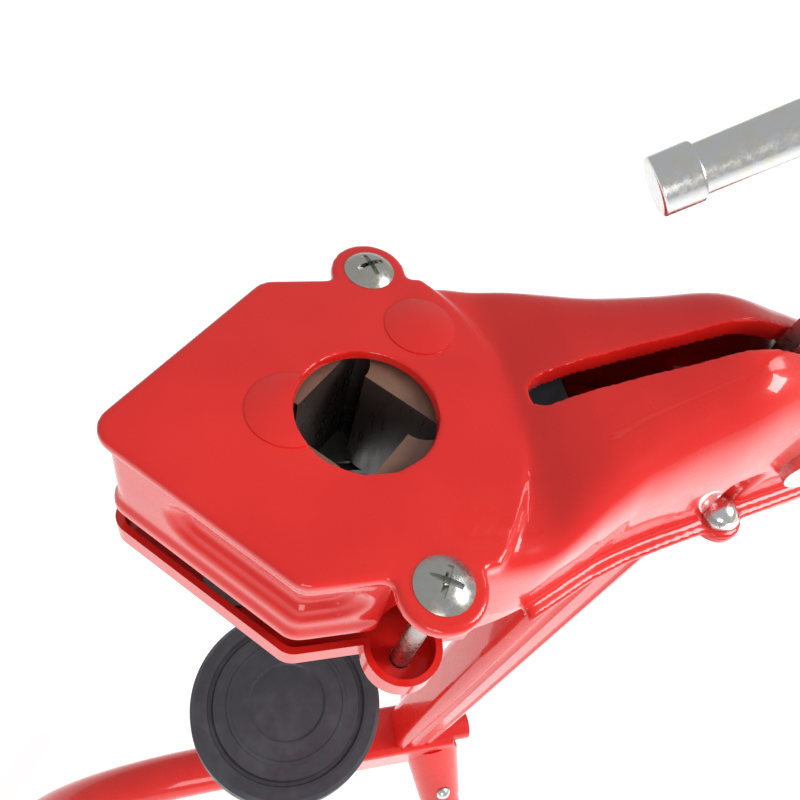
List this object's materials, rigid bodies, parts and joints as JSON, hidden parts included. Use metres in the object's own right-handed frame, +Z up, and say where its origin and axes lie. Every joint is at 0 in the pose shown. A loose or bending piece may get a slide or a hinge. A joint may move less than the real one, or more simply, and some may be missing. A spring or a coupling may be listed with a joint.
{
  "type": "floor-standing wine bottle corker",
  "caption": "Floor-standing lever bottle corker: pressed V-nosed head with iris jaws, plunger on a long lever, sprung bottle platform, column and tripod legs.",
  "frame": {"origin": "on the floor under the middle of the corker's overall length and width", "axes": "+Z up; -Y towards the head's nose and the front foot, where the user stands; +Y towards the lever's pivot and the column; +X to the side of the right-hand leg, square to the plane of symmetry"},
  "size_m": [0.4541, 0.4738, 1.2878],
  "materials": {
    "head_paint": "glossy red enamel",
    "leg_paint": "glossy red enamel",
    "zinc_hardware": "bright zinc plate",
    "zinc_lever": "zinc-plated plate, lightly worn",
    "plunger_steel": "nickel plate, slightly tarnished",
    "inner_steel": "plain pressed steel",
    "brown_nylon": "satin brown nylon",
    "black_plastic": "satin black moulded plastic",
    "black_rubber": "soft black rubber",
    "spring_steel": "oiled spring wire"
  },
  "bodies": {
    "stand": {"back_stop_screws": "zinc_hardware", "bottle_neck_cone": "black_plastic", "column": "leg_paint", "column_head_plate": "leg_paint", "flange_bolts": "zinc_hardware", "flange_nuts": "zinc_hardware", "flange_washers": "zinc_hardware", "foot_front": "black_rubber", "foot_left": "black_rubber", "foot_right": "black_rubber", "guide_bush": "black_plastic", "guide_tube_plug": "black_plastic", "head_clamp_nuts": "zinc_hardware", "head_clamp_screws": "zinc_hardware", "head_lower_shell": "head_paint", "head_upper_shell": "head_paint", "jaw_back_stop": "black_plastic", "jaw_floor_plate": "inner_steel", "jaw_right_rear": "brown_nylon", "leg_saddle": "leg_paint", "leg_screw_left": "zinc_hardware", "leg_screw_right": "zinc_hardware", "leg_socket_left": "leg_paint", "leg_socket_right": "leg_paint", "lever_pivot_bolt": "zinc_hardware", "lever_pivot_nut": "zinc_hardware", "lever_spacers": "zinc_lever", "main_leg_tube": "leg_paint", "platform_guide_tube": "leg_paint", "platform_spring": "spring_steel", "side_leg_left": "leg_paint", "side_leg_right": "leg_paint"},
    "jaw_yoke": {"jaw_pull_yoke": "inner_steel", "jaw_left_front": "brown_nylon"},
    "jaw_left_rear": {"jaw_left_rear": "brown_nylon"},
    "jaw_right_front": {"jaw_right_front": "brown_nylon"},
    "lever": {"lever_blade": "zinc_lever", "lever_bolts": "zinc_hardware", "lever_grip": "black_rubber", "lever_nuts": "zinc_hardware", "lever_tube": "zinc_lever", "crank_pin": "zinc_lever", "plunger_pin": "zinc_hardware", "plunger_pin_clip": "zinc_hardware"},
    "plunger": {"plunger_rod": "plunger_steel", "plunger_clevis": "zinc_hardware", "plunger_lock_nut": "zinc_hardware"},
    "platform": {"platform_disc": "black_plastic", "platform_flange": "inner_steel", "platform_screws": "zinc_hardware", "platform_rod": "zinc_hardware", "rod_collar": "inner_steel"}
  },
  "joints": [
    {"name": "lever_pull", "type": "hinge", "parent": "stand", "child": "lever", "pos_m": [0, 0.17746, 0.685], "axis": [1, 0, 0], "range_deg": [0, 64.5]},
    {"name": "plunger_swing", "type": "hinge", "parent": "lever", "child": "plunger", "pos_m": [0, 0.18714, 0.8388], "axis": [1, 0, 0], "range_deg": [-6.52, 0]},
    {"name": "yoke_pull", "type": "slide", "parent": "stand", "child": "jaw_yoke", "axis": [0, 1, 0], "range_m": [0, 0.01725]},
    {"name": "left_rear_jaw_slide", "type": "slide", "parent": "stand", "child": "jaw_left_rear", "axis": [0.7071, 0.7071, 0], "range_m": [0, 0.0122]},
    {"name": "right_front_jaw_slide", "type": "slide", "parent": "stand", "child": "jaw_right_front", "axis": [-0.7071, 0.7071, 0], "range_m": [0, 0.0122]},
    {"name": "platform_press", "type": "slide", "parent": "stand", "child": "platform", "axis": [0, 0, -1], "range_m": [0, 0.1], "stiffness_N_per_m": 250, "springref_m": -0.06, "deforming": ["platform_spring"]}
  ],
  "couplings": [
    {"joint": "plunger_swing", "follows": "lever_pull", "ratio": -0.10078},
    {"joint": "yoke_pull", "follows": "lever_pull", "m_per_rad": 0.015326},
    {"joint": "left_rear_jaw_slide", "follows": "lever_pull", "m_per_rad": 0.010837},
    {"joint": "right_front_jaw_slide", "follows": "lever_pull", "m_per_rad": 0.010837}
  ]
}
